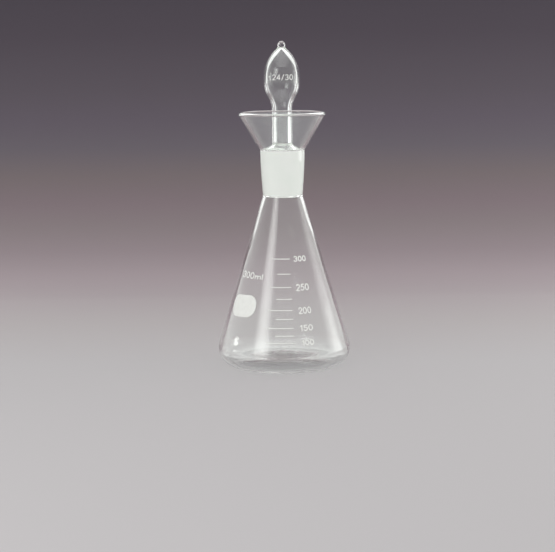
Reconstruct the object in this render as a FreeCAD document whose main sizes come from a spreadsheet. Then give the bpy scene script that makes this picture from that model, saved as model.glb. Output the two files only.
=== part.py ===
"""A 300 mL iodine flask with its hollow ground stopper.

The flask is blown and fused as one piece of glass: a conical body on a pushed-up foot, a neck whose bore
is ground as a tapered socket, and a funnel collar that holds a liquid seal round the stopper. The stopper
is blown as one hollow, sealed piece: a pointed bulb to grip, a stem and a ground cone. White enamel is
fired on the front of the body: a graduated scale and a spot to write on.

Millimetres. Z is the axis of the glass, and the flask stands on Z = 0.
"""
import FreeCAD, Part
import math
import os
import Sketcher

SIZES = (
    ("base_diameter", 89.0, "widest circle of the body"),
    ("heel_radius", 10.8, "outside curve from the foot into the cone"),
    ("heel_bore_radius", 8.0, "the same curve inside"),
    ("foot_ring_diameter", 56.0, "inner edge of the flat ring that the flask stands on"),
    ("push_up", 1.6, "rise of the foot at the axis"),
    ("floor_thickness", 2.3, "glass of the floor"),
    ("cone_angle", 17.2, "degrees between the cone's wall and the axis"),
    ("body_wall", 1.8, "glass of the cone"),
    ("shoulder_fillet", 3.0, "outside, where the cone is fused to the neck"),
    ("flare_angle", 50.0, "degrees between the flare under the socket and the axis"),
    ("joint_diameter", 24.0, "large end of the ground joint"),
    ("joint_length", 30.0, "ground length"),
    ("joint_taper", 0.1, "diameter lost for each millimetre of length"),
    ("joint_clearance", 0.05, "radial gap between cone and socket"),
    ("cone_stand", 1.0, "how far the ground cone reaches past each end of the socket"),
    ("neck_wall", 2.65, "glass round the socket"),
    ("neck_curve_radius", 330.0, "slight swell of the neck"),
    ("collar_height", 24.6, "neck to rim"),
    ("collar_diameter", 57.2, "over the rim"),
    ("collar_wall", 1.7, "glass of the collar"),
    ("collar_ledge", 1.3, "step from the socket's mouth to the collar"),
    ("collar_fillet", 1.2, "outside, where the collar leaves the neck"),
    ("rim_radius", 1.25, "fire-polished bead of the rim"),
    ("shoulder_rise", 4.4, "top of the stopper's shoulder above the socket"),
    ("stem_diameter", 13.1, "stem between shoulder and bulb"),
    ("stem_fillet", 1.5, "outside, at the foot of the stem"),
    ("waist_radius", 15.5, "hollow curve from the stem into the bulb"),
    ("belly_radius", 17.0, "lower curve of the bulb"),
    ("belly_height", 43.7, "end of the lower curve above the socket"),
    ("bulb_side", 3.6, "straight side between the bulb's curves"),
    ("bulb_diameter", 23.2, "across the bulb"),
    ("crown_radius", 24.3, "upper curve of the bulb"),
    ("tip_radius", 2.5, "drawn-off tip"),
    ("tip_rise", 23.4, "top of the tip above the bulb's widest circle"),
    ("tip_hollow_radius", 2.6, "hollow curve under the tip"),
    ("stopper_wall", 2.0, "glass of the bulb and the stem"),
    ("peak_radius", 1.2, "rounded peak of the bulb's hollow"),
    ("plug_wall", 2.2, "glass of the ground cone and its floor"),
    ("plug_fillet", 1.6, "rounded edge at the foot of the ground cone"),
    ("enamel_thickness", 0.1, "fired-on print"),
    ("line_width", 0.5, "stroke of the graduation lines"),
    ("line_end_azimuth", 8.8, "degrees from the front to the right ends of the lines"),
    ("long_line_arc", 26.0, "degrees that a numbered line runs round the cone"),
    ("short_line_arc", 17.3, "degrees that a line between them runs"),
    ("spot_width", 22.6, "marking spot, across"),
    ("spot_height", 14.0, "marking spot, up"),
    ("spot_corner_radius", 6.2, "marking spot's corners"),
    ("spot_azimuth", -51.0, "degrees from the front to the middle of the spot"),
    ("spot_tilt", 4.0, "degrees that the spot leans"),
    ("spot_centre_height", 43.2, "middle of the spot"),
    ("line_100_height", 21.8, "100 mL line over the base"),
    ("line_125_height", 26.3, "125 mL line"),
    ("line_150_height", 31.1, "150 mL line"),
    ("line_175_height", 36.7, "175 mL line"),
    ("line_200_height", 42.2, "200 mL line"),
    ("line_225_height", 49.2, "225 mL line"),
    ("line_250_height", 56.6, "250 mL line"),
    ("line_275_height", 64.9, "275 mL line"),
    ("line_300_height", 74.4, "300 mL line"),
)

# The volumes in millilitres that the lines mark, and how far apart the numbered ones are.
VOLUMES = range(100, 301, 25)
NUMBERED_EVERY = 50

ORIGIN = (-1, 1)
ACROSS = -1
AXIS = -2
START, END, CENTRE = range(1, 4)

doc = FreeCAD.newDocument("IodineFlask")


def make_sheet():
    """Writes the driving dimensions, one row each: a name, its value and what it measures."""
    table = doc.addObject("Spreadsheet::Sheet", "Sizes")
    for row, (name, amount, note) in enumerate(SIZES, start=1):
        table.set(f"A{row}", name)
        table.set(f"B{row}", str(amount))
        table.set(f"C{row}", note)
        table.setAlias(f"B{row}", name)
    doc.recompute()
    return table


sheet = make_sheet()

# The ground joint, as formulas: the socket's mouth and foot, and the two ends of the cone that fits it.
MOUTH_RADIUS = "Sizes.joint_diameter / 2"
FOOT_RADIUS = "(Sizes.joint_diameter - Sizes.joint_taper * Sizes.joint_length) / 2"
CONE_TOP_RADIUS = f"{MOUTH_RADIUS} + Sizes.joint_taper * Sizes.cone_stand / 2 - Sizes.joint_clearance"
CONE_FOOT_RADIUS = f"{FOOT_RADIUS} - Sizes.joint_taper * Sizes.cone_stand / 2 - Sizes.joint_clearance"
MOUTH_HEIGHT = "FlaskSection.Constraints.mouth_height / 1mm"


def value(formula):
    """The present value of a formula on the sheet."""
    return float(sheet.evalExpression(formula))


def cone_radius(height):
    """Formula for the outside radius of the conical body at a height."""
    return (
        "(Sizes.base_diameter / 2 - Sizes.heel_radius"
        f" + (Sizes.heel_radius - (({height}) - Sizes.heel_radius) * sin(Sizes.cone_angle))"
        " / cos(Sizes.cone_angle))"
    )


class Outline:
    """A closed outline in a body's XZ plane: X is the radius and Y of the sketch is the height.

    It is drawn near its true shape, and then held by joints, constraints and sizes from the sheet.
    """

    def __init__(self, body, name, start):
        plane = next(o for o in body.Origin.OriginFeatures if o.Role == "XZ_Plane")
        self.sketch = body.newObject("Sketcher::SketchObject", name)
        self.sketch.AttachmentSupport = (plane, [""])
        self.sketch.MapMode = "FlatFace"
        self.pen = start
        self.first = None
        self.last = None

    def line(self, end, smooth=False):
        return self._add(Part.LineSegment(vector(self.pen), vector(end)), end, smooth)

    def arc(self, through, end, smooth=False):
        return self._add(Part.Arc(vector(self.pen), vector(through), vector(end)), end, smooth)

    def _add(self, shape, end, smooth):
        """Adds a piece and joins it to the last one. Returns its number, and its start and end points."""
        number = self.sketch.addGeometry(shape, False)
        forward = self.sketch.getPoint(number, START).distanceToPoint(vector(self.pen)) < 1e-6
        begin, finish = ((number, START), (number, END)) if forward else ((number, END), (number, START))
        if self.last is None:
            self.first = begin
        else:
            self.fix("Tangent" if smooth else "Coincident", *self.last, *begin)
        self.last = finish
        self.pen = end
        return number, begin, finish

    def close(self, smooth=False):
        """Joins the end of the last piece to the start of the first one."""
        self.fix("Tangent" if smooth else "Coincident", *self.last, *self.first)

    def fix(self, kind, *where):
        self.sketch.addConstraint(Sketcher.Constraint(kind, *where))

    def size(self, name, kind, where, formula):
        """Holds a distance, radius or angle to a formula on the sheet."""
        amount = value(formula)
        amount = math.radians(amount) if kind == "Angle" else amount
        number = self.sketch.addConstraint(Sketcher.Constraint(kind, *where, amount))
        self.sketch.renameConstraint(number, name)
        self.sketch.setExpression(f"Constraints.{name}", formula)

    def radius_at(self, name, point, formula):
        self.size(name, "DistanceX", (*ORIGIN, *point), formula)

    def height_at(self, name, point, formula):
        self.size(name, "DistanceY", (*ORIGIN, *point), formula)

    def corner(self, point):
        """Where a point of the solved outline lies, as radius and height."""
        place = self.sketch.getPoint(*point)
        return place.x, place.y


def vector(point):
    return FreeCAD.Vector(point[0], point[1], 0)


def revolve(body, name, outline):
    """Turns a section a full turn round the axis."""
    feature = body.newObject("PartDesign::Revolution", name)
    feature.Profile = outline.sketch
    feature.ReferenceAxis = (outline.sketch, ["V_Axis"])
    feature.Angle = 360
    doc.recompute()
    return feature


def fillet_rings(body, name, base, rings, formula):
    """Rounds the circular edges of a turned solid that pass through the given radii and heights."""
    edges = []
    for radius, height in rings:
        for number, edge in enumerate(base.Shape.Edges, start=1):
            box = edge.BoundBox
            flat = box.ZLength < 1e-4 and abs(box.ZMax - height) < 1e-3
            if flat and abs(box.XMax - radius) < 1e-3:
                edges.append(f"Edge{number}")
    feature = body.newObject("PartDesign::Fillet", name)
    feature.Base = (base, edges)
    feature.setExpression("Radius", formula)
    doc.recompute()
    return feature


def make_flask():
    """The flask: foot, conical body, socket and funnel collar in one closed section of glass."""
    body = doc.addObject("PartDesign::Body", "Flask")
    body.Label = "flask"

    heel = value("Sizes.heel_radius")
    heel_x = value("Sizes.base_diameter / 2") - heel
    lean = math.radians(value("Sizes.cone_angle"))
    wall = value("Sizes.body_wall")
    ring = value("Sizes.foot_ring_diameter / 2")
    rise = value("Sizes.push_up")
    floor = rise + value("Sizes.floor_thickness")
    foot = value(FOOT_RADIUS)
    mouth = value(MOUTH_RADIUS)
    neck_wall = value("Sizes.neck_wall")
    neck_foot = heel + (heel - (foot + neck_wall - heel_x) * math.cos(lean)) / math.sin(lean)
    neck_top = neck_foot + value("Sizes.joint_length")
    rim = value("Sizes.rim_radius")
    rim_x = value("Sizes.collar_diameter / 2") - rim
    rim_z = neck_top + value("Sizes.collar_height") - rim
    ledge = mouth + value("Sizes.collar_ledge")
    bore_heel = value("Sizes.heel_bore_radius")
    bore_heel_x = heel_x + heel - wall - bore_heel

    outline = Outline(body, "FlaskSection", (0, rise))
    push_up, push_up_top, _ = outline.arc((ring / 2, rise * 0.75), (ring, 0))
    _, ring_inner, ring_outer = outline.line((heel_x, 0))
    heel_arc, _, _ = outline.arc(
        (heel_x + heel * math.sin(1), heel * (1 - math.cos(1))),
        (heel_x + heel * math.cos(lean), heel * (1 + math.sin(lean))),
        smooth=True,
    )
    cone, _, _ = outline.line((foot + neck_wall, neck_foot), smooth=True)
    neck, neck_start, neck_end = outline.arc(
        ((foot + mouth) / 2 + neck_wall + 0.3, (neck_foot + neck_top) / 2), (mouth + neck_wall, neck_top)
    )
    collar, _, _ = outline.line((rim_x + rim, rim_z - rim / 2))
    bead, _, _ = outline.arc((rim_x, rim_z + rim), (rim_x - rim, rim_z), smooth=True)
    funnel, _, funnel_foot = outline.line((ledge, neck_top + 1))
    _, _, mouth_edge = outline.line((mouth, neck_top))
    _, _, socket_foot = outline.line((foot, neck_foot))
    flare, _, flare_foot = outline.line((foot + 1, neck_foot - 1))
    inside, _, inside_foot = outline.line(
        (bore_heel_x + bore_heel * math.cos(lean), floor + bore_heel * (1 + math.sin(lean)))
    )
    bore_heel_arc, _, _ = outline.arc(
        (bore_heel_x + bore_heel * math.sin(1), floor + bore_heel * (1 - math.cos(1))),
        (bore_heel_x, floor - rise),
        smooth=True,
    )
    floor_arc, _, floor_top = outline.arc((bore_heel_x / 2, floor - rise / 4), (0, floor), smooth=True)
    outline.line((0, rise))
    outline.close()

    outline.fix("PointOnObject", *push_up_top, AXIS)
    outline.fix("PointOnObject", push_up, CENTRE, AXIS)
    outline.fix("PointOnObject", *ring_inner, ACROSS)
    outline.fix("PointOnObject", *ring_outer, ACROSS)
    outline.height_at("push_up", push_up_top, "Sizes.push_up")
    outline.radius_at("foot_ring", ring_inner, "Sizes.foot_ring_diameter / 2")
    outline.size("heel", "Radius", (heel_arc,), "Sizes.heel_radius")
    outline.radius_at("heel_centre", (heel_arc, CENTRE), "Sizes.base_diameter / 2 - Sizes.heel_radius")
    outline.size("lean", "Angle", (cone,), "90 + Sizes.cone_angle")
    outline.radius_at("neck_foot_radius", neck_start, f"{FOOT_RADIUS} + Sizes.neck_wall")
    outline.radius_at("neck_top_radius", neck_end, f"{MOUTH_RADIUS} + Sizes.neck_wall")
    outline.size("neck_curve", "Radius", (neck,), "Sizes.neck_curve_radius")
    outline.size("neck_length", "DistanceY", (*neck_start, *neck_end), "Sizes.joint_length")
    outline.size("rim_bead", "Radius", (bead,), "Sizes.rim_radius")
    outline.radius_at("rim_centre", (bead, CENTRE), "Sizes.collar_diameter / 2 - Sizes.rim_radius")
    outline.size(
        "rim_rise", "DistanceY", (*neck_end, bead, CENTRE), "Sizes.collar_height - Sizes.rim_radius"
    )
    outline.fix("Parallel", collar, funnel)
    outline.size("collar_thickness", "Distance", (*funnel_foot, collar), "Sizes.collar_wall")
    outline.radius_at("ledge", funnel_foot, f"{MOUTH_RADIUS} + Sizes.collar_ledge")
    outline.fix("Horizontal", *neck_end, *mouth_edge)
    outline.radius_at("socket_mouth_radius", mouth_edge, MOUTH_RADIUS)
    outline.fix("Horizontal", *neck_start, *socket_foot)
    outline.radius_at("socket_foot_radius", socket_foot, FOOT_RADIUS)
    outline.size("flare", "Angle", (flare,), "Sizes.flare_angle - 90")
    outline.fix("Parallel", cone, inside)
    outline.size("cone_thickness", "Distance", (*inside_foot, cone), "Sizes.body_wall")
    outline.size("bore_heel", "Radius", (bore_heel_arc,), "Sizes.heel_bore_radius")
    outline.fix("Coincident", push_up, CENTRE, floor_arc, CENTRE)
    outline.fix("PointOnObject", *floor_top, AXIS)
    outline.height_at("floor", floor_top, "Sizes.push_up + Sizes.floor_thickness")
    measured = outline.sketch.addConstraint(Sketcher.Constraint("DistanceY", *ORIGIN, *neck_end, neck_top))
    outline.sketch.setDriving(measured, False)
    outline.sketch.renameConstraint(measured, "mouth_height")
    doc.recompute()

    glass = revolve(body, "FlaskGlass", outline)
    glass = fillet_rings(body, "Shoulder", glass, [outline.corner(neck_start)], "Sizes.shoulder_fillet")
    fillet_rings(body, "CollarRoot", glass, [outline.corner(neck_end)], "Sizes.collar_fillet")
    return body


def between(start, end, distance):
    """The point at a distance from one point towards another."""
    share = distance / math.hypot(end[0] - start[0], end[1] - start[1])
    return start[0] + (end[0] - start[0]) * share, start[1] + (end[1] - start[1]) * share


def on_circle(centre, radius, degrees):
    turn = math.radians(degrees)
    return centre[0] + radius * math.cos(turn), centre[1] + radius * math.sin(turn)


def make_stopper():
    """The stopper, drawn from the plane of the socket's mouth and placed there."""
    body = doc.addObject("PartDesign::Body", "Stopper")
    body.Label = "stopper"

    tip = value("Sizes.tip_radius")
    hollow = value("Sizes.tip_hollow_radius")
    crown = value("Sizes.crown_radius")
    belly = value("Sizes.belly_radius")
    waist = value("Sizes.waist_radius")
    wall = value("Sizes.stopper_wall")
    plug_wall = value("Sizes.plug_wall")
    bulb = value("Sizes.bulb_diameter / 2")
    stem = value("Sizes.stem_diameter / 2")
    belly_centre = (bulb - belly, value("Sizes.belly_height"))
    crown_centre = (bulb - crown, belly_centre[1] + value("Sizes.bulb_side"))
    tip_top = crown_centre[1] + value("Sizes.tip_rise")
    tip_centre = (0, tip_top - tip)
    waist_x = stem + waist
    waist_drop = math.sqrt((belly + waist) ** 2 - (waist_x - belly_centre[0]) ** 2)
    waist_centre = (waist_x, belly_centre[1] - waist_drop)
    shoulder = value("Sizes.shoulder_rise")
    cone_top = (value(CONE_TOP_RADIUS), value("Sizes.cone_stand"))
    cone_foot = (value(CONE_FOOT_RADIUS), value("-Sizes.joint_length - Sizes.cone_stand"))

    # The hollow under the tip touches the tip and the crown from outside.
    reach = math.hypot(tip_centre[0] - crown_centre[0], tip_centre[1] - crown_centre[1])
    lean = math.atan2(tip_centre[1] - crown_centre[1], tip_centre[0] - crown_centre[0])
    spread = math.acos(
        ((crown + hollow) ** 2 + reach**2 - (tip + hollow) ** 2) / (2 * reach * (crown + hollow))
    )
    hollow_centre = on_circle(crown_centre, crown + hollow, math.degrees(lean - spread))
    tip_end = between(tip_centre, hollow_centre, tip)
    crown_start = between(crown_centre, hollow_centre, crown)
    hollow_middle = between(hollow_centre, between(tip_end, crown_start, 0.5), hollow)
    peak = value("Sizes.peak_radius")
    peak_centre = (0, crown_centre[1] + math.sqrt((crown - wall - peak) ** 2 - crown_centre[0] ** 2))

    outline = Outline(body, "StopperSection", (0, tip_top))
    tip_arc, tip_start, _ = outline.arc(on_circle(tip_centre, tip, 45), tip_end)
    hollow_arc, _, _ = outline.arc(hollow_middle, crown_start, smooth=True)
    crown_arc, _, _ = outline.arc(
        on_circle(crown_centre, crown, 20), (bulb, crown_centre[1]), smooth=True
    )
    side, _, _ = outline.line((bulb, belly_centre[1]), smooth=True)
    belly_arc, _, _ = outline.arc(
        on_circle(belly_centre, belly, -15), between(belly_centre, waist_centre, belly), smooth=True
    )
    waist_arc, _, _ = outline.arc(
        on_circle(waist_centre, waist, 165), (stem, waist_centre[1]), smooth=True
    )
    _, _, stem_foot = outline.line((stem, shoulder), smooth=True)
    shoulder_line, _, shoulder_foot = outline.line(cone_top)
    cone, _, cone_end = outline.line(cone_foot)
    _, _, foot_middle = outline.line((0, cone_foot[1]))
    _, _, void_floor = outline.line((0, cone_foot[1] + plug_wall))
    _, _, void_edge = outline.line((cone_foot[0] - plug_wall, cone_foot[1] + plug_wall))
    void_cone, _, void_top = outline.line((cone_top[0] - plug_wall, 0))
    void_shoulder, _, void_neck = outline.line((stem - wall, shoulder))
    bore, _, _ = outline.line((stem - wall, waist_centre[1]))
    void_waist, _, _ = outline.arc(
        on_circle(waist_centre, waist + wall, 165),
        between(belly_centre, waist_centre, belly - wall),
        smooth=True,
    )
    void_belly, _, _ = outline.arc(
        on_circle(belly_centre, belly - wall, -15), (bulb - wall, belly_centre[1]), smooth=True
    )
    void_side, _, _ = outline.line((bulb - wall, crown_centre[1]), smooth=True)
    void_crown, _, _ = outline.arc(
        on_circle(crown_centre, crown - wall, 20),
        between(crown_centre, peak_centre, crown - wall),
        smooth=True,
    )
    peak_arc, _, void_peak = outline.arc(
        on_circle(peak_centre, peak, 75), (0, peak_centre[1] + peak), smooth=True
    )
    outline.line((0, tip_top))
    outline.close()

    outline.fix("PointOnObject", *tip_start, AXIS)
    outline.fix("PointOnObject", tip_arc, CENTRE, AXIS)
    outline.size("tip_rise", "DistanceY", (crown_arc, CENTRE, *tip_start), "Sizes.tip_rise")
    outline.size("tip", "Radius", (tip_arc,), "Sizes.tip_radius")
    outline.size("tip_hollow", "Radius", (hollow_arc,), "Sizes.tip_hollow_radius")
    outline.size("crown", "Radius", (crown_arc,), "Sizes.crown_radius")
    outline.fix("Vertical", side)
    outline.size("bulb_side", "DistanceY", (belly_arc, CENTRE, crown_arc, CENTRE), "Sizes.bulb_side")
    outline.radius_at("belly_across", (belly_arc, CENTRE), "Sizes.bulb_diameter / 2 - Sizes.belly_radius")
    outline.height_at("belly_height", (belly_arc, CENTRE), "Sizes.belly_height")
    outline.size("belly", "Radius", (belly_arc,), "Sizes.belly_radius")
    outline.size("waist", "Radius", (waist_arc,), "Sizes.waist_radius")
    outline.radius_at("waist_across", (waist_arc, CENTRE), "Sizes.stem_diameter / 2 + Sizes.waist_radius")
    outline.radius_at("stem", stem_foot, "Sizes.stem_diameter / 2")
    outline.height_at("shoulder_rise", stem_foot, "Sizes.shoulder_rise")
    outline.radius_at("cone_top_radius", shoulder_foot, CONE_TOP_RADIUS)
    outline.height_at("cone_top", shoulder_foot, "Sizes.cone_stand")
    outline.radius_at("cone_foot_radius", cone_end, CONE_FOOT_RADIUS)
    outline.height_at("cone_foot", cone_end, "-Sizes.joint_length - Sizes.cone_stand")
    outline.fix("Horizontal", *cone_end, *foot_middle)
    outline.fix("PointOnObject", *foot_middle, AXIS)
    outline.fix("PointOnObject", *void_floor, AXIS)
    outline.size("plug_floor", "DistanceY", (*foot_middle, *void_floor), "Sizes.plug_wall")
    outline.fix("Horizontal", *void_floor, *void_edge)
    outline.fix("Parallel", cone, void_cone)
    outline.size("plug_thickness", "Distance", (*void_edge, cone), "Sizes.plug_wall")
    outline.fix("Parallel", shoulder_line, void_shoulder)
    outline.size("shoulder_thickness", "Distance", (*void_top, shoulder_line), "Sizes.plug_wall")
    outline.radius_at("bore", void_neck, "Sizes.stem_diameter / 2 - Sizes.stopper_wall")
    outline.fix("Vertical", bore)
    outline.fix("Vertical", void_side)
    for outer, inner in ((waist_arc, void_waist), (belly_arc, void_belly), (crown_arc, void_crown)):
        outline.fix("Coincident", outer, CENTRE, inner, CENTRE)
    outline.fix("PointOnObject", *void_peak, AXIS)
    outline.fix("PointOnObject", peak_arc, CENTRE, AXIS)
    outline.size("peak", "Radius", (peak_arc,), "Sizes.peak_radius")
    doc.recompute()

    glass = revolve(body, "StopperGlass", outline)
    glass = fillet_rings(body, "StemRoot", glass, [outline.corner(stem_foot)], "Sizes.stem_fillet")
    fillet_rings(body, "PlugFoot", glass, [outline.corner(cone_end)], "Sizes.plug_fillet")
    body.setExpression("Placement.Base.z", MOUTH_HEIGHT)
    return body


def make_enamel_skin():
    """A thin skin on the plain stretch of the cone, from which the print is cut."""
    low = "1.5 * Sizes.heel_radius"
    high = f"{MOUTH_HEIGHT} - Sizes.joint_length - 2 * Sizes.shoulder_fillet"
    coat = "Sizes.enamel_thickness / cos(Sizes.cone_angle)"
    cones = []
    for name, thickness in (("SkinOuter", coat), ("SkinInner", "0")):
        cone = doc.addObject("Part::Cone", name)
        cone.setExpression("Radius1", f"{cone_radius(low)} + {thickness}")
        cone.setExpression("Radius2", f"{cone_radius(high)} + {thickness}")
        cone.setExpression("Height", f"{high} - {low}")
        cone.setExpression("Placement.Base.z", low)
        cones.append(cone)
    skin = doc.addObject("Part::Cut", "EnamelSkin")
    skin.Base, skin.Tool = cones
    return skin


def make_graduation_lines(skin):
    """The lines of the scale: thin wedges of the skin that end one under another on the right."""
    wedges = []
    for volume in VOLUMES:
        arc = "Sizes.long_line_arc" if volume % NUMBERED_EVERY == 0 else "Sizes.short_line_arc"
        wedge = doc.addObject("Part::Cylinder", f"Line{volume}")
        wedge.setExpression("Radius", "Sizes.base_diameter")
        wedge.setExpression("Height", "Sizes.line_width")
        wedge.setExpression("Angle", arc)
        wedge.Placement.Rotation = FreeCAD.Rotation(FreeCAD.Vector(0, 0, 1), 1)
        wedge.setExpression("Placement.Rotation.Angle", f"270 + Sizes.line_end_azimuth - {arc}")
        wedge.setExpression("Placement.Base.z", f"Sizes.line_{volume}_height - Sizes.line_width / 2")
        wedges.append(wedge)
    stamp = doc.addObject("Part::MultiFuse", "LineStamp")
    stamp.Shapes = wedges
    lines = doc.addObject("Part::Common", "GraduationLines")
    lines.Base = stamp
    lines.Tool = skin
    lines.Label = "graduation_lines"
    return lines


def make_marking_spot(skin):
    """The spot to write on: a rounded oblong of the skin, to the left of the scale."""
    body = doc.addObject("PartDesign::Body", "SpotStamp")
    corner = value("Sizes.spot_corner_radius")
    side = value("Sizes.spot_width / 2")
    top = value("Sizes.spot_height / 2")
    outline = Outline(body, "SpotOutline", (side - corner, top))
    arcs = []
    edges = []
    for right, up, turn in ((-1, 1, 135), (-1, -1, 225), (1, -1, 315), (1, 1, 45)):
        centre = (right * (side - corner), up * (top - corner))
        first, second = on_circle(centre, corner, turn - 45), on_circle(centre, corner, turn + 45)
        edges.append(outline.line(first, smooth=bool(arcs))[0])
        arcs.append(outline.arc(on_circle(centre, corner, turn), second, smooth=True)[0])
    outline.close(smooth=True)
    outline.fix("Symmetric", arcs[0], CENTRE, arcs[2], CENTRE, *ORIGIN)
    outline.fix("Symmetric", arcs[1], CENTRE, arcs[3], CENTRE, *ORIGIN)
    outline.fix("Perpendicular", edges[0], edges[1])
    for number, arc in enumerate(arcs):
        outline.size(f"corner_{number}", "Radius", (arc,), "Sizes.spot_corner_radius")
    outline.size(
        "across", "Distance", (arcs[0], CENTRE, arcs[3], CENTRE),
        "Sizes.spot_width - 2 * Sizes.spot_corner_radius",
    )
    outline.size(
        "up", "Distance", (arcs[0], CENTRE, arcs[1], CENTRE),
        "Sizes.spot_height - 2 * Sizes.spot_corner_radius",
    )
    outline.size("tilt", "Angle", (edges[0],), "180 + Sizes.spot_tilt")
    doc.recompute()
    pad = body.newObject("PartDesign::Pad", "SpotPad")
    pad.Profile = outline.sketch
    pad.setExpression("Length", "Sizes.base_diameter")
    body.Placement.Rotation = FreeCAD.Rotation(FreeCAD.Vector(0, 0, 1), 1)
    body.setExpression("Placement.Rotation.Angle", "Sizes.spot_azimuth")
    body.setExpression("Placement.Base.z", "Sizes.spot_centre_height")
    spot = doc.addObject("Part::Common", "MarkingSpot")
    spot.Base = body
    spot.Tool = skin
    spot.Label = "marking_spot"
    return spot


def check(parts):
    """Stops before anything is written if a step failed or a piece isn't a sound solid."""
    doc.recompute()
    for item in doc.Objects:
        if "Invalid" in item.State or "Error" in item.State:
            raise RuntimeError(f"{item.Name}: {item.getStatusString()}")
    for part in parts:
        if part.Shape.isNull() or not part.Shape.isValid() or not part.Shape.Solids:
            raise RuntimeError(f"{part.Label}: no sound solid")


def main():
    flask = make_flask()
    stopper = make_stopper()
    skin = make_enamel_skin()
    parts = [flask, stopper, make_graduation_lines(skin), make_marking_spot(skin)]
    check(parts)
    os.makedirs("parts", exist_ok=True)
    for part in parts:
        part.Shape.exportStep(f"parts/{part.Label}.step")


main()
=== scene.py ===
"""The looks of a 300 mL iodine flask: turned borosilicate glass, a ground joint and fired white enamel.

The glass is drawn in millimetres and degrees, and its meshes are made in metres. The stage is in metres.
Z is the axis of the glass, the flask stands on Z = 0, and -Y is the front. Azimuths are counted from the
front, positive to the right.
"""

import math

import bmesh
import bpy
from mathutils import Matrix, Quaternion, Vector, noise


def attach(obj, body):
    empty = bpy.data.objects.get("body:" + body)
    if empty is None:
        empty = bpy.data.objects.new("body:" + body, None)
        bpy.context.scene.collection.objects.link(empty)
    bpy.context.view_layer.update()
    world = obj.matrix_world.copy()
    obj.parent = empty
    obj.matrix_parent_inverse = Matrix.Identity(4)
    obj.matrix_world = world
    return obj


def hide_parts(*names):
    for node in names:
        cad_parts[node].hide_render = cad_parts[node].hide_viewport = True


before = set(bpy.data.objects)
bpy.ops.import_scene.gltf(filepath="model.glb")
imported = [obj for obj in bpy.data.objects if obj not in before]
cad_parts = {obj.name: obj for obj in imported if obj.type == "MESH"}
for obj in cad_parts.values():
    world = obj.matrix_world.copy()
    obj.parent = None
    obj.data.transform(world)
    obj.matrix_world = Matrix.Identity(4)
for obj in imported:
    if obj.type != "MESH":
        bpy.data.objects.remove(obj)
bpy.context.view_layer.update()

MM = 0.001
TINY = 1e-6

# The flask. A pair is a radius and a height.
BASE_RADIUS = 44.5
HEEL = 10.8
HEEL_CENTRE = (BASE_RADIUS - HEEL, HEEL)
HEEL_BORE = 8.0
FOOT_RING = 28.0
PUSH_UP = 1.6
PUSH_FILLET = 2.0
FLOOR = 2.3
LEAN = 17.2
BODY_WALL = 1.8
SHOULDER_FILLET = 3.0
NECK_FOOT = (13.15, 113.706)
NECK_TOP = (14.65, 143.706)
NECK_CURVE = 330.0
SOCKET_MOUTH = (12.0, 143.706)
SOCKET_FOOT = (10.5, 113.706)
SOCKET_EDGE = 0.5
FLARE_FOOT = (11.53, 112.84)
FLARE_FILLET = 1.2
COLLAR_FILLET = 1.2
COLLAR_LEDGE = (13.30, 144.76)
LEDGE_FILLET = 0.8
RIM_CENTRE = (27.35, 167.06)
RIM = 1.25

# The middle of the foot is pushed up in part of a ball, and the floor inside follows it.
PUSH_DEPTH = (FOOT_RING**2 - PUSH_UP**2) / (2 * PUSH_UP)
PUSH_CENTRE = (0, -PUSH_DEPTH)
PUSH_RADIUS = PUSH_DEPTH + PUSH_UP
FLOOR_RADIUS = PUSH_RADIUS + FLOOR

# The stopper, with heights from the plane of the socket's mouth.
PLUG_FOOT = (10.4, -31.0)
PLUG_TOP = (12.0, 1.0)
PLUG_FILLET = 1.6
PLUG_EDGE = 0.5
STEM = 6.55
STEM_FOOT = 4.4
STEM_FILLET = 1.5
WAIST_CENTRE = (22.05, 26.3)
WAIST = 15.5
BELLY_CENTRE = (-5.4, 43.7)
BELLY = 17.0
CROWN_CENTRE = (-12.7, 47.3)
CROWN = 24.3
TIP_CENTRE = (0.0, 68.2)
TIP = 2.5
TIP_NECK = 2.6

# The hollow inside the stopper.
STOPPER_WALL = 2.0
VOID_FOOT = (8.31, -28.8)
VOID_FOOT_FILLET = 1.5
VOID_SHOULDER = (9.74, -0.18)
VOID_SHOULDER_FILLET = 1.2
VOID_STEM = (STEM - STOPPER_WALL, 3.05)
VOID_STEM_FILLET = 2.0
PEAK_CENTRE = (0.0, 64.15)
PEAK = 1.2

# How finely the sections are drawn and turned, and how far handmade glass strays from them.
RING_STEP = 2.0
ARC_STEP = 4.0
CUT_ROOM = 1.2
SEGMENTS = 192
SHARP = 24.0
SWAY_OUTSIDE = 0.03
SWAY_INSIDE = 0.12
SWAY_FLOOR = 0.22
SWAY_LENGTH = 14.0
SWAY_SEED = 2

# Finishes of glass, by the order of a piece's material slots.
CLEAR = 0
GROUND = 1


def on_circle(centre, radius, degrees):
    """The point on a circle at an angle."""
    turn = math.radians(degrees)
    return centre[0] + radius * math.cos(turn), centre[1] + radius * math.sin(turn)


def gap(a, b):
    """The distance between two points."""
    return math.hypot(b[0] - a[0], b[1] - a[1])


def heading(a, b):
    """The direction from one point to another, in degrees."""
    return math.degrees(math.atan2(b[1] - a[1], b[0] - a[0]))


def turn_between(come, go):
    """The turn from one heading to another, positive to the left, in degrees."""
    return (go - come + 180) % 360 - 180


def line(start, end):
    """Points along a straight run, both ends included."""
    steps = max(1, math.ceil(gap(start, end) / RING_STEP))
    return [
        (start[0] + (end[0] - start[0]) * i / steps, start[1] + (end[1] - start[1]) * i / steps)
        for i in range(steps + 1)
    ]


def arc(centre, radius, start, end):
    """Points round a circle from one angle to another."""
    length = radius * math.radians(abs(end - start))
    steps = max(2, math.ceil(abs(end - start) / ARC_STEP), math.ceil(length / RING_STEP))
    return [on_circle(centre, radius, start + (end - start) * i / steps) for i in range(steps + 1)]


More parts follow.
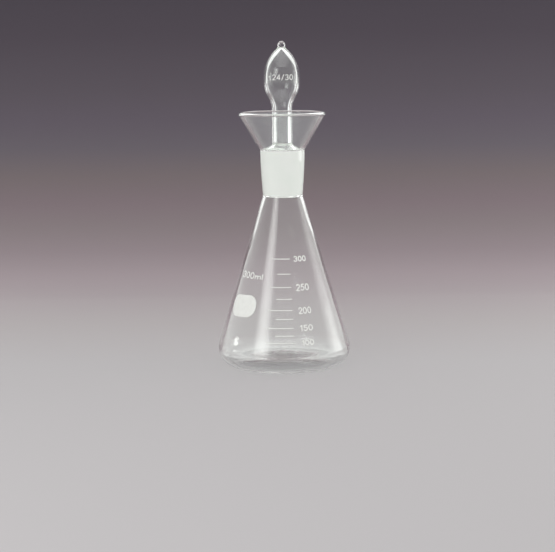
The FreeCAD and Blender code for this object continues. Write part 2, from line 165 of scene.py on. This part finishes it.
def bow(start, end, radius):
    """Points on a slight curve between two points, with its centre on the left."""
    half = gap(start, end) / 2
    along = heading(start, end)
    middle = on_circle(start, half, along)
    centre = on_circle(middle, math.sqrt(radius**2 - half**2), along + 90)
    return arc(centre, radius, heading(centre, start), heading(centre, end))


def touch(point, centre, radius, side):
    """Where a line from a point touches a circle, on the right of the circle's centre (-1) or the left (1)."""
    reach = gap(point, centre)
    along = heading(point, centre) + side * math.degrees(math.asin(radius / reach))
    return on_circle(point, math.sqrt(reach**2 - radius**2), along)


class Section:
    """Half of a section through turned glass, drawn with the glass on its left."""

    def __init__(self, start):
        self.points = [start]
        self.sways = [0.0]
        self.finishes = []

    def add(self, run, sway=0.0, finish=CLEAR, rounding=0.0):
        """Adds a run that starts where the section ends, with that corner left sharp or rounded."""
        run = run[1:]
        if rounding:
            run = self.round_off(run, rounding)
        self.points += run
        self.sways += [sway] * len(run)
        self.finishes += [finish] * len(run)

    def round_off(self, run, radius):
        """Cuts the last corner back, and returns the arc over it with the rest of the run."""
        corner = self.points[-1]
        come = heading(self.points[-2], corner)
        turn = turn_between(come, heading(corner, run[0]))
        cut = radius * math.tan(math.radians(abs(turn)) / 2)
        while gap(self.points[-1], corner) < cut * CUT_ROOM:
            self.points.pop()
            self.sways.pop()
            self.finishes.pop()
        self.finishes.append(self.finishes[-1])
        side = math.copysign(90, turn)
        start = on_circle(corner, cut, come + 180)
        curve = arc(on_circle(start, radius, come + side), radius, come - side, come - side + turn)
        self.points.append(curve[0])
        self.sways.append(self.sways[-1])
        return curve[1:] + [p for p in run if gap(p, corner) > cut * CUT_ROOM]

    def reverse(self):
        """The same section drawn the other way, for a hollow that is closed off inside the glass."""
        self.points.reverse()
        self.sways.reverse()
        self.finishes.reverse()
        return self

    def raised(self, height):
        """The same section moved up."""
        self.points = [(radius, z + height) for radius, z in self.points]
        return self


def strayed(place, sway):
    """A point of the turned surface moved by the slow waves of worked glass."""
    if not sway:
        return place
    return place + noise.noise_vector(place / SWAY_LENGTH) * sway


def turned(name, sections):
    """Turns sections round the axis into one mesh: the skin, and any closed hollows."""
    shape = bmesh.new()
    for section in sections:
        rings = []
        for (radius, height), sway in zip(section.points, section.sways):
            if radius < TINY:
                rings.append([shape.verts.new((0, 0, height * MM))])
                continue
            ring = []
            for j in range(SEGMENTS):
                azimuth = 2 * math.pi * j / SEGMENTS
                place = Vector((radius * math.cos(azimuth), radius * math.sin(azimuth), height))
                ring.append(shape.verts.new(strayed(place, sway) * MM))
            rings.append(ring)
        for low, high, finish in zip(rings, rings[1:], section.finishes):
            for j in range(SEGMENTS):
                k = (j + 1) % SEGMENTS
                if len(low) == 1:
                    corners = (low[0], high[k], high[j])
                elif len(high) == 1:
                    corners = (low[j], low[k], high[0])
                else:
                    corners = (low[j], low[k], high[k], high[j])
                face = shape.faces.new(corners)
                face.material_index = finish
                face.smooth = True
    piece = piece_from(name, shape)
    piece.data.set_sharp_from_angle(angle=math.radians(SHARP))
    return piece


def piece_from(name, shape):
    """An object in the scene, with the mesh that was built."""
    mesh = bpy.data.meshes.new(name)
    shape.to_mesh(mesh)
    shape.free()
    piece = bpy.data.objects.new(name, mesh)
    bpy.context.scene.collection.objects.link(piece)
    return piece


def flask_section():
    """The flask's section: up its outside from the middle of the foot, over the rim and down its inside."""
    rim_out = touch(NECK_TOP, RIM_CENTRE, RIM, -1)
    rim_in = touch(COLLAR_LEDGE, RIM_CENTRE, RIM, 1)
    rise = heading(NECK_TOP, rim_out)
    bore_centre = bore_heel_centre()
    floor_end = heading(PUSH_CENTRE, bore_centre)
    section = Section((0, PUSH_UP))
    section.add(arc(PUSH_CENTRE, PUSH_RADIUS, 90, heading(PUSH_CENTRE, (FOOT_RING, 0))), SWAY_OUTSIDE)
    section.add(line((FOOT_RING, 0), (HEEL_CENTRE[0], 0)), rounding=PUSH_FILLET)
    section.add(arc(HEEL_CENTRE, HEEL, -90, LEAN), SWAY_OUTSIDE)
    section.add(line(on_circle(HEEL_CENTRE, HEEL, LEAN), NECK_FOOT), SWAY_OUTSIDE)
    section.add(bow(NECK_FOOT, NECK_TOP, NECK_CURVE), rounding=SHOULDER_FILLET)
    section.add(line(NECK_TOP, rim_out), SWAY_OUTSIDE, rounding=COLLAR_FILLET)
    section.add(arc(RIM_CENTRE, RIM, rise - 90, heading(RIM_CENTRE, rim_in)), SWAY_OUTSIDE)
    section.add(line(rim_in, COLLAR_LEDGE), SWAY_OUTSIDE)
    section.add(line(COLLAR_LEDGE, SOCKET_MOUTH), rounding=LEDGE_FILLET)
    section.add(line(SOCKET_MOUTH, SOCKET_FOOT), finish=GROUND, rounding=SOCKET_EDGE)
    section.add(line(SOCKET_FOOT, FLARE_FOOT), rounding=SOCKET_EDGE)
    section.add(line(FLARE_FOOT, on_circle(bore_centre, HEEL_BORE, LEAN)), SWAY_INSIDE, rounding=FLARE_FILLET)
    section.add(arc(bore_centre, HEEL_BORE, LEAN, floor_end - 180), SWAY_INSIDE)
    section.add(arc(PUSH_CENTRE, FLOOR_RADIUS, floor_end, 90), SWAY_FLOOR)
    return section


def bore_heel_centre():
    """The centre of the round between the wall's inside and the floor's, which touches both."""
    lean = math.radians(LEAN)
    across = HEEL_CENTRE[0] * math.cos(lean) + (HEEL_CENTRE[1] + PUSH_DEPTH) * math.sin(lean)
    across += HEEL - BODY_WALL - HEEL_BORE
    along = math.sqrt((FLOOR_RADIUS + HEEL_BORE) ** 2 - across**2)
    return on_circle(on_circle(PUSH_CENTRE, across, LEAN), along, LEAN + 90)


def stopper_sections():
    """The stopper's skin from the foot of its cone up to the tip, and the hollow sealed inside it."""
    neck_centre = tip_neck_centre()
    crown_end, tip_start = heading(CROWN_CENTRE, neck_centre), heading(TIP_CENTRE, neck_centre)
    skin = Section((0, PLUG_FOOT[1]))
    skin.add(line((0, PLUG_FOOT[1]), PLUG_FOOT), SWAY_OUTSIDE)
    skin.add(line(PLUG_FOOT, PLUG_TOP), finish=GROUND, rounding=PLUG_FILLET)
    skin.add(line(PLUG_TOP, (STEM, STEM_FOOT)), rounding=PLUG_EDGE)
    skin.add(line((STEM, STEM_FOOT), (STEM, WAIST_CENTRE[1])), SWAY_OUTSIDE, rounding=STEM_FILLET)
    add_bulb(skin, 0.0, crown_end)
    skin.add(arc(neck_centre, TIP_NECK, crown_end + 180, tip_start + 180))
    skin.add(arc(TIP_CENTRE, TIP, tip_start, 90))
    peak_start = heading(CROWN_CENTRE, PEAK_CENTRE)
    hollow = Section((0, VOID_FOOT[1]))
    hollow.add(line((0, VOID_FOOT[1]), VOID_FOOT))
    hollow.add(line(VOID_FOOT, VOID_SHOULDER), SWAY_OUTSIDE, rounding=VOID_FOOT_FILLET)
    hollow.add(line(VOID_SHOULDER, VOID_STEM), SWAY_OUTSIDE, rounding=VOID_SHOULDER_FILLET)
    hollow.add(line(VOID_STEM, (VOID_STEM[0], WAIST_CENTRE[1])), SWAY_OUTSIDE, rounding=VOID_STEM_FILLET)
    add_bulb(hollow, STOPPER_WALL, peak_start)
    hollow.add(arc(PEAK_CENTRE, PEAK, peak_start, 90))
    return [skin.raised(SOCKET_MOUTH[1]), hollow.reverse().raised(SOCKET_MOUTH[1])]


def add_bulb(section, depth, crown_end):
    """Adds the bulb from its waist over the belly to the end of the crown, at a depth in the glass."""
    waist, belly, crown = WAIST + depth, BELLY - depth, CROWN - depth
    belly_start = heading(BELLY_CENTRE, WAIST_CENTRE)
    section.add(arc(WAIST_CENTRE, waist, 180, belly_start + 180), SWAY_OUTSIDE)
    section.add(arc(BELLY_CENTRE, belly, belly_start, 0), SWAY_OUTSIDE)
    section.add(line((BELLY_CENTRE[0] + belly, BELLY_CENTRE[1]), (CROWN_CENTRE[0] + crown, CROWN_CENTRE[1])))
    section.add(arc(CROWN_CENTRE, crown, 0, crown_end), SWAY_OUTSIDE)


def tip_neck_centre():
    """The centre of the small hollow curve that touches both the crown and the ball of the tip."""
    far, near, apart = CROWN + TIP_NECK, TIP + TIP_NECK, gap(CROWN_CENTRE, TIP_CENTRE)
    along = (far**2 - near**2 + apart**2) / (2 * apart)
    foot = on_circle(CROWN_CENTRE, along, heading(CROWN_CENTRE, TIP_CENTRE))
    return on_circle(foot, math.sqrt(far**2 - along**2), heading(CROWN_CENTRE, TIP_CENTRE) - 90)


# The print. A stroke has a width, a coat of enamel a thickness, and a loop a point every so many degrees.
STROKE = 0.68
JOINT_STROKE = 0.5
COAT = 0.1
LOOP_STEP = 15
CORNER_TURN = 50
END_ANGLES = (25, 50, 75)


def loop(centre_x, centre_y, across, up, start, end):
    """Part of an oval, as the points of a stroke."""
    steps = max(3, round(abs(end - start) / LOOP_STEP))
    return [
        (
            centre_x + across * math.cos(math.radians(start + (end - start) * i / steps)),
            centre_y + up * math.sin(math.radians(start + (end - start) * i / steps)),
        )
        for i in range(steps + 1)
    ]


# Each sign's width and its strokes, in a box one unit high, and the room between two signs.
SIGNS = {
    "0": (0.62, [loop(0.31, 0.5, 0.31, 0.5, 90, 450)]),
    "1": (0.26, [[(0.0, 0.78), (0.22, 1.0), (0.22, 0.0)]]),
    "2": (0.6, [loop(0.3, 0.71, 0.29, 0.29, 165, -35) + [(0.02, 0.0), (0.6, 0.0)]]),
    "3": (0.58, [loop(0.28, 0.76, 0.25, 0.24, 155, -90) + loop(0.27, 0.26, 0.3, 0.26, 88, -155)]),
    "4": (0.62, [[(0.46, 0.0), (0.46, 1.0), (0.0, 0.3), (0.62, 0.3)]]),
    "5": (0.58, [[(0.54, 1.0), (0.12, 1.0), (0.06, 0.54)] + loop(0.27, 0.32, 0.3, 0.32, 130, -150)]),
    "/": (0.42, [[(0.0, -0.06), (0.42, 1.06)]]),
    "m": (
        0.9,
        [
            [(0.0, 0.0), (0.0, 0.62)],
            loop(0.22, 0.4, 0.22, 0.22, 170, 0) + [(0.44, 0.0)],
            loop(0.67, 0.4, 0.23, 0.22, 180, 0) + [(0.9, 0.0)],
        ],
    ),
    "l": (0.04, [[(0.02, 0.0), (0.02, 1.0)]]),
}
SPACING = 0.28

# Lines of text: the azimuths of the left and right end, the size of the signs, and the height of their middle.
SCALE_PRINT = [
    ("300", 15.4, 33.7, 3.2, 74.3),
    ("250", 15.1, 30.8, 3.85, 56.3),
    ("200", 15.5, 29.1, 3.8, 41.8),
    ("150", 15.7, 27.9, 3.4, 30.9),
    ("100", 16.3, 26.9, 3.1, 21.8),
]
VOLUME_PRINT = [("300", -64.5, -42.5, 3.9, 62.95), ("ml", -39.8, -28.6, 3.1, 62.7)]
JOINT_PRINT = [("1", -46.0, -40.0, 3.1, 190.6), ("24/30", -31.0, 37.0, 3.4, 191.2)]


def body_radius(height):
    """The radius of the conical body's outside at a height."""
    lean = math.radians(LEAN)
    return HEEL_CENTRE[0] + (HEEL - (height - HEEL) * math.sin(lean)) / math.cos(lean)


def bulb_radius(height):
    """The radius of the bulb's outside at a height, over its belly and crown."""
    z = height - SOCKET_MOUTH[1]
    if z < BELLY_CENTRE[1]:
        return BELLY_CENTRE[0] + math.sqrt(BELLY**2 - (BELLY_CENTRE[1] - z) ** 2)
    if z > CROWN_CENTRE[1]:
        return CROWN_CENTRE[0] + math.sqrt(CROWN**2 - (z - CROWN_CENTRE[1]) ** 2)
    return BELLY_CENTRE[0] + BELLY


def parted(points):
    """A stroke cut at its sharp corners, so that each part can be drawn with round ends."""
    parts, part = [], [points[0]]
    for before, point, after in zip(points, points[1:], points[2:]):
        part.append(point)
        if abs(turn_between(heading(before, point), heading(point, after))) > CORNER_TURN:
            parts.append(part)
            part = [point]
    return parts + [part + [points[-1]]]


def stroke_ribs(points, width):
    """Pairs of points on the two sides of a stroke, drawn in round its ends."""
    half = width / 2
    closed = gap(points[0], points[-1]) < TINY
    runs = [heading(a, b) for a, b in zip(points, points[1:])]
    comes = [runs[-1] if closed else runs[0], *runs]
    goes = [*runs, runs[0] if closed else runs[-1]]
    ribs = []
    for point, come, go in zip(points, comes, goes):
        turn = turn_between(come, go)
        reach, across = half / math.cos(math.radians(turn) / 2), come + turn / 2 + 90
        ribs.append((on_circle(point, reach, across), on_circle(point, -reach, across)))
    if closed:
        return ribs
    start, end = heading(points[1], points[0]), runs[-1]
    for angle in END_ANGLES:
        shift, reach = half * math.sin(math.radians(angle)), half * math.cos(math.radians(angle))
        first, last = on_circle(points[0], shift, start), on_circle(points[-1], shift, end)
        ribs.insert(0, (on_circle(first, -reach, start + 90), on_circle(first, reach, start + 90)))
        ribs.append((on_circle(last, reach, end + 90), on_circle(last, -reach, end + 90)))
    return ribs


def text_strokes(text, width, height):
    """The strokes of a line of text that is spread over a width."""
    natural = sum(SIGNS[sign][0] + SPACING for sign in text) - SPACING
    stretch = width / natural
    strokes, pen = [], 0.0
    for sign in text:
        across, paths = SIGNS[sign]
        strokes += [[((pen + x) * stretch, (y - 0.5) * height) for x, y in path] for path in paths]
        pen += across + SPACING
    return strokes


def printed(name, lines, radius_at, stroke=STROKE):
    """Lines of text in enamel on a turned surface, as thin closed ribbons."""
    shape = bmesh.new()
    for text, left, right, height, middle in lines:
        radius = radius_at(middle)
        width = radius * math.radians(right - left)
        for points in text_strokes(text, width, height):
            for part in parted(points):
                ribs = stroke_ribs(part, stroke)
                add_ribbon(shape, ribs, math.radians(left), radius, middle, radius_at)
    return piece_from(name, shape)


def add_ribbon(shape, ribs, left, radius, middle, radius_at):
    """A closed ribbon of enamel over the given ribs, wrapped on a turned surface.

    All print is as tall as it comes out on the leaning wall of the body.
    """
    upright = math.cos(math.radians(LEAN))
    layers = []
    for lift in (0.0, COAT):
        sides = []
        for side in (0, 1):
            places = []
            for rib in ribs:
                azimuth, z = left + rib[side][0] / radius, middle + rib[side][1] * upright
                reach = radius_at(z) + lift
                places.append(Vector((reach * math.sin(azimuth), -reach * math.cos(azimuth), z)) * MM)
            sides.append([shape.verts.new(place) for place in places])
        layers.append(sides)
    (low_left, low_right), (high_left, high_right) = layers
    for i in range(len(ribs) - 1):
        k = i + 1
        shape.faces.new((high_left[i], high_right[i], high_right[k], high_left[k]))
        shape.faces.new((low_left[i], low_left[k], low_right[k], low_right[i]))
        shape.faces.new((high_left[i], high_left[k], low_left[k], low_left[i]))
        shape.faces.new((high_right[i], low_right[i], low_right[k], high_right[k]))
    shape.faces.new((high_left[0], low_left[0], low_right[0], high_right[0]))
    shape.faces.new((high_left[-1], high_right[-1], low_right[-1], low_left[-1]))


# How much glass and enamel bend light, the tint of glass, and its tint for light that passes without a bend.
GLASS_IOR = 1.473
ENAMEL_IOR = 1.5
GLASS_TINT = (0.985, 0.995, 0.99, 1)
STRAIGHT_TINT = (0.984, 0.989, 0.986, 1)

# How often a path of light may bounce, for the many faces of the glass, and pass a face without a bend.
GLASS_BOUNCES = 96
STRAIGHT_BOUNCES = 24


def start_nodes(block):
    """Gives a material or a world its nodes, emptied but for the output. Returns its tree."""
    block.use_nodes = True
    tree = block.node_tree
    for node in list(tree.nodes):
        if not node.type.startswith("OUTPUT"):
            tree.nodes.remove(node)
    return tree


def new_material(name):
    """A material without a surface, and its node tree."""
    material = bpy.data.materials.new(name)
    return material, start_nodes(material)


def set_surface(tree, shader):
    """Feeds a shader to the output of a material or a world."""
    output = next(node for node in tree.nodes if node.type.startswith("OUTPUT"))
    tree.links.new(shader, output.inputs["Surface"])


def add_node(tree, kind, inputs=None, **settings):
    """A new node. Each input is given as a value, or as the socket that feeds it."""
    node = tree.nodes.new(kind)
    for key, setting in settings.items():
        setattr(node, key, setting)
    for key, given in (inputs or {}).items():
        if isinstance(given, bpy.types.NodeSocket):
            tree.links.new(given, node.inputs[key])
        else:
            node.inputs[key].default_value = given
    return node


def noise_in_object(tree, scale, detail):
    """Noise that is fixed to the piece, with its scale in waves to a metre. Returns its value."""
    place = add_node(tree, "ShaderNodeTexCoord")
    inputs = {"Vector": place.outputs["Object"], "Scale": scale, "Detail": detail}
    return add_node(tree, "ShaderNodeTexNoise", inputs).outputs["Fac"]


def add_bump(tree, height, strength, distance):
    """A bump from a height socket, with its distance in metres. Returns its normal."""
    inputs = {"Strength": strength, "Distance": distance, "Height": height}
    return add_node(tree, "ShaderNodeBump", inputs).outputs["Normal"]


def colour_ramp(tree, factor, stops):
    """A ramp through (position, colour) stops. Returns its colour."""
    ramp = add_node(tree, "ShaderNodeValToRGB", {"Fac": factor})
    elements = ramp.color_ramp.elements
    while len(elements) < len(stops):
        elements.new(0.5)
    for element, (position, colour) in zip(elements, stops):
        element.position = position
        element.color = (*colour, 1)
    return ramp.outputs["Color"]


def mixed(tree, factor, first, second):
    """A mix of two shaders: the first where the factor is 0, and the second where it is 1."""
    return add_node(tree, "ShaderNodeMixShader", {0: factor, 1: first, 2: second}).outputs[0]


def clear_glass(name):
    """Clear borosilicate glass with the slight waves of fire polish.

    Light on its way to a matt surface passes straight through it, and isn't bent.
    """
    material, tree = new_material(name)
    waves = noise_in_object(tree, 160.0, detail=1.0)
    inputs = {
        "Base Color": GLASS_TINT,
        "Roughness": 0.0,
        "IOR": GLASS_IOR,
        "Transmission Weight": 1.0,
        "Normal": add_bump(tree, waves, strength=0.25, distance=0.00004),
    }
    surface = add_node(tree, "ShaderNodeBsdfPrincipled", inputs).outputs[0]
    straight = add_node(tree, "ShaderNodeBsdfTransparent", {"Color": STRAIGHT_TINT}).outputs[0]
    path = add_node(tree, "ShaderNodeLightPath")
    for kind in ("Is Diffuse Ray", "Is Shadow Ray"):
        surface = mixed(tree, path.outputs[kind], surface, straight)
    set_surface(tree, surface)
    return material


def ground_glass(name):
    """Glass ground with fine grit: pale, a little uneven, and without a clear reflection."""
    material, tree = new_material(name)
    clouds = noise_in_object(tree, 90.0, detail=3.0)
    grit = noise_in_object(tree, 6000.0, detail=2.0)
    inputs = {
        "Base Color": colour_ramp(tree, clouds, [(0.3, (0.955, 0.985, 0.945)), (0.7, (0.985, 1.0, 0.97))]),
        "Roughness": 0.5,
        "IOR": GLASS_IOR,
        "Specular IOR Level": 0.0,
        "Normal": add_bump(tree, grit, strength=0.6, distance=0.00003),
    }
    set_surface(tree, add_node(tree, "ShaderNodeBsdfPrincipled", inputs).outputs[0])
    return material


def white_enamel(name):
    """Fired white enamel: nearly even, slightly matt, a little thicker and thinner from place to place."""
    material, tree = new_material(name)
    clouds = noise_in_object(tree, 350.0, detail=3.0)
    grain = noise_in_object(tree, 2500.0, detail=3.0)
    inputs = {
        "Base Color": colour_ramp(tree, clouds, [(0.3, (0.88, 0.88, 0.86)), (0.7, (0.94, 0.94, 0.92))]),
        "Roughness": 0.38,
        "IOR": ENAMEL_IOR,
        "Normal": add_bump(tree, grain, strength=0.35, distance=0.00002),
    }
    set_surface(tree, add_node(tree, "ShaderNodeBsdfPrincipled", inputs).outputs[0])
    return material


# The table and the paper behind the glass, darker along its length, in metres.
TABLE_REACH = 3.0
TABLE_DROP = 0.0006
SWEEP_HALF_WIDTH = 0.30
SWEEP_FRONT = -0.7
SWEEP_BACK = 0.38
SWEEP_BEND = 0.14
SWEEP_TOP = 0.262
BEND_STEPS = 12
PALE = (0.593, 0.563, 0.585)
# How far along the paper, counted from under the glass, and its colour there.
FADE = [
    (0.0, PALE),
    (0.136, (0.577, 0.532, 0.549)),
    (0.239, (0.567, 0.504, 0.531)),
    (0.297, (0.454, 0.382, 0.414)),
    (0.331, (0.357, 0.295, 0.322)),
    (0.360, (0.295, 0.246, 0.263)),
    (0.385, (0.260, 0.208, 0.230)),
    (0.412, (0.221, 0.184, 0.195)),
    (0.439, (0.176, 0.155, 0.181)),
    (0.464, (0.156, 0.134, 0.164)),
    (0.491, (0.135, 0.116, 0.139)),
    (0.543, (0.104, 0.088, 0.108)),
    (0.590, (0.089, 0.077, 0.095)),
]
FADE_LENGTH = 0.65


def make_table():
    """The plain pale table, which lies just under the paper and shows beyond it."""
    shape = bmesh.new()
    r, z = TABLE_REACH, -TABLE_DROP
    shape.faces.new([shape.verts.new(corner) for corner in ((-r, -r, z), (r, -r, z), (r, r, z), (-r, r, z))])
    table = piece_from("table", shape)
    table.data.materials.append(table_paper())
    return table


def make_sweep():
    """The paper, darker along its length: flat under the glass, bent up behind it, with its length kept as a UV."""
    start = SWEEP_BACK - SWEEP_BEND
    profile = [(y, 0.0) for y in (SWEEP_FRONT, 0.0, start / 2, start)]
    for i in range(1, BEND_STEPS + 1):
        turn = math.radians(90 * i / BEND_STEPS)
        profile.append((start + SWEEP_BEND * math.sin(turn), SWEEP_BEND * (1 - math.cos(turn))))
    profile.append((SWEEP_BACK, SWEEP_TOP))
    lengths = [SWEEP_FRONT]
    for a, b in zip(profile, profile[1:]):
        lengths.append(lengths[-1] + gap(a, b))
    shape = bmesh.new()
    layer = shape.loops.layers.uv.new("UVMap")
    rows = [[shape.verts.new((x, y, z)) for x in (-SWEEP_HALF_WIDTH, SWEEP_HALF_WIDTH)] for y, z in profile]
    for i in range(len(rows) - 1):
        face = shape.faces.new((rows[i][0], rows[i][1], rows[i + 1][1], rows[i + 1][0]))
        face.smooth = True
        for corner, along in zip(face.loops, (lengths[i], lengths[i], lengths[i + 1], lengths[i + 1])):
            corner[layer].uv = (0.5, max(0.0, along) / FADE_LENGTH)
    sweep = piece_from("sweep", shape)
    sweep.data.materials.append(darkening_paper())
    return sweep


def table_paper():
    """Matt pale paper."""
    material, tree = new_material("table_paper")
    set_surface(tree, add_node(tree, "ShaderNodeBsdfDiffuse", {"Color": (*PALE, 1)}).outputs[0])
    return material


def darkening_paper():
    """Matt paper, darker along its length. Its back is hidden, so that a view from behind shows the glass."""
    material, tree = new_material("darkening_paper")
    place = add_node(tree, "ShaderNodeUVMap")
    parts = add_node(tree, "ShaderNodeSeparateXYZ", {0: place.outputs["UV"]})
    colour = colour_ramp(tree, parts.outputs["Y"], [(along / FADE_LENGTH, shade) for along, shade in FADE])
    front = add_node(tree, "ShaderNodeBsdfDiffuse", {"Color": colour})
    side = add_node(tree, "ShaderNodeNewGeometry")
    nothing = add_node(tree, "ShaderNodeBsdfTransparent")
    set_surface(tree, mixed(tree, side.outputs["Backfacing"], front.outputs[0], nothing.outputs[0]))
    return material


# The white room round the stage: its colour, and how bright it is as a light and to the eye.
ROOM_COLOUR = (0.985, 1, 0.975, 1)
WORLD_LIGHT = 0.75
WORLD_SEEN = 1.0


def make_world():
    """A white room, as bright as paper to the eye and a little dimmer as a light."""
    world = bpy.data.worlds.new("white_room")
    tree = start_nodes(world)
    lit = add_node(tree, "ShaderNodeBackground", {"Color": ROOM_COLOUR, "Strength": WORLD_LIGHT})
    seen = add_node(tree, "ShaderNodeBackground", {"Color": ROOM_COLOUR, "Strength": WORLD_SEEN})
    path = add_node(tree, "ShaderNodeLightPath")
    by_eye = path.outputs["Is Camera Ray"]
    for kind in ("Is Glossy Ray", "Is Transmission Ray"):
        either = add_node(tree, "ShaderNodeMath", {0: by_eye, 1: path.outputs[kind]}, operation="MAXIMUM")
        by_eye = either.outputs[0]
    set_surface(tree, mixed(tree, by_eye, lit.outputs[0], seen.outputs[0]))
    bpy.context.scene.world = world


# Courses of brightness over a lamp's face, as places from one edge to the other and the share there. From side
# to side every lamp has the soft one.
EVEN = [(0.0, 1.0), (1.0, 1.0)]
SOFT = [(0.0, 0.0), (0.1, 0.15), (0.25, 0.65), (0.5, 1.0), (0.75, 0.65), (0.9, 0.15), (1.0, 0.0)]
DIM_HEAD = [(0.0, 1.2), (0.25, 1.0), (0.38, 0.66), (0.5, 0.6), (0.7, 0.5), (1.0, 0.3)]

# Lamps: azimuth, elevation and distance from what they aim at, width and height, tilt, brightness, its course
# from foot to head, and what the lamp lights.
LAMPS = [
    ("key_softbox", -42.0, 21.5, 0.9, (0.60, 0.36), 0.0, 4.3, EVEN, "all"),
    ("side_softbox", 104.0, 9.0, 0.8, (0.60, 0.34), 0.0, 2.5, DIM_HEAD, "all"),
    ("side_fill", 76.0, 15.0, 0.8, (0.40, 0.30), 0.0, 4.0, EVEN, "matt"),
    ("left_glint", -97.1, 4.75, 0.81, (0.20, 0.005), 12.0, 5.0, EVEN, "glass"),
    ("overhead", 0.0, 89.0, 0.85, (2.2, 2.2), 0.0, 1.5, EVEN, "glass"),
    ("left_reflector", -150.0, 7.0, 0.365, (0.16, 0.11), 0.0, 1.6, SOFT, "glass"),
    ("right_reflector", 150.0, 7.0, 0.365, (0.16, 0.11), 0.0, 1.8, SOFT, "glass"),
]
LAMP_COLOUR = (0.975, 1, 0.965)
AIM = Vector((0, 0, 0.09))


def add_lamp(name, azimuth, elevation, distance, size, tilt, brightness, rise, lights):
    """A soft lamp turned to the flask. Its brightness is the radiance of its face where both courses are 1."""
    a, e = math.radians(azimuth), math.radians(elevation)
    away = Vector((math.sin(a) * math.cos(e), -math.cos(a) * math.cos(e), math.sin(e)))
    light = bpy.data.lights.new(name, "AREA")
    light.shape = "RECTANGLE"
    light.size, light.size_y = size
    light.energy = brightness * math.pi * size[0] * size[1]
    light.color = LAMP_COLOUR
    soften(light, rise)
    lamp = bpy.data.objects.new(name, light)
    lamp.location = AIM + away * distance
    lamp.rotation_mode = "QUATERNION"
    lamp.rotation_quaternion = away.to_track_quat("Z", "Y") @ Quaternion((0, 0, 1), math.radians(tilt))
    lamp.visible_camera = False
    lamp.visible_diffuse = lights != "glass"
    lamp.visible_glossy = lights != "matt"
    lamp.visible_transmission = lights != "matt"
    bpy.context.scene.collection.objects.link(lamp)


def soften(light, rise):
    """Gives a lamp's face a soft course from side to side, and the given one from foot to head."""
    light.use_nodes = True
    tree = light.node_tree
    place = add_node(tree, "ShaderNodeNewGeometry")
    parts = add_node(tree, "ShaderNodeSeparateXYZ", {0: place.outputs["Parametric"]})
    sideways = colour_ramp(tree, parts.outputs["X"], [(p, (v, v, v)) for p, v in SOFT])
    upwards = colour_ramp(tree, parts.outputs["Y"], [(p, (v, v, v)) for p, v in rise])
    product = add_node(tree, "ShaderNodeMath", {0: sideways, 1: upwards}, operation="MULTIPLY")
    emission = next(node for node in tree.nodes if node.type == "EMISSION")
    tree.links.new(product.outputs[0], emission.inputs["Strength"])


# The camera of the photograph, in metres and degrees, with its sensor and lens in millimetres.
CAMERA_PLACE = (-0.0040965, -0.89713, 0.20919)
CAMERA_TILT = 9.5
CAMERA_ROLL = -0.6
SENSOR = 36
LENS = 87.94


def add_camera():
    """The camera in front of the flask, looking slightly down."""
    camera = bpy.data.cameras.new("camera")
    camera.sensor_width = SENSOR
    camera.lens = LENS
    holder = bpy.data.objects.new("camera", camera)
    turn = Matrix.Rotation(math.radians(90 - CAMERA_TILT), 4, "X") @ Matrix.Rotation(math.radians(CAMERA_ROLL), 4, "Z")
    holder.matrix_world = Matrix.Translation(CAMERA_PLACE) @ turn
    bpy.context.scene.collection.objects.link(holder)
    bpy.context.scene.camera = holder


def main():
    """Builds the glass and its print round the two bodies, and then the stage."""
    noise.seed_set(SWAY_SEED)
    scene = bpy.context.scene
    scene.view_settings.view_transform = "Standard"
    scene.cycles.max_bounces = GLASS_BOUNCES
    scene.cycles.transmission_bounces = GLASS_BOUNCES
    scene.cycles.glossy_bounces = GLASS_BOUNCES
    scene.cycles.transparent_max_bounces = STRAIGHT_BOUNCES
    scene.cycles.caustics_reflective = False
    scene.cycles.caustics_refractive = False

    clear = clear_glass("flask_glass_clear")
    stopper_clear = clear_glass("stopper_glass_clear")
    ground = ground_glass("ground_glass")
    enamel = white_enamel("fired_enamel")

    flask = turned("flask_body", [flask_section()])
    flask.data.materials.append(clear)
    flask.data.materials.append(ground)
    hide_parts("flask")
    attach(flask, "flask")

    stopper = turned("stopper_body", stopper_sections())
    stopper.data.materials.append(stopper_clear)
    stopper.data.materials.append(ground)
    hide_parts("stopper")
    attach(stopper, "stopper")

    prints = [
        (printed("scale_numbers", SCALE_PRINT, body_radius), "flask"),
        (printed("volume_print", VOLUME_PRINT, body_radius), "flask"),
        (printed("joint_print", JOINT_PRINT, bulb_radius, JOINT_STROKE), "stopper"),
    ]
    for piece, body in prints:
        piece.data.materials.append(enamel)
        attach(piece, body)
    for name in ("graduation_lines", "marking_spot"):
        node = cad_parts[name]
        node.data.materials.clear()
        node.data.materials.append(enamel)

    table, sweep = make_table(), make_sweep()
    make_world()
    for lamp in LAMPS:
        add_lamp(*lamp)
    add_camera()


main()
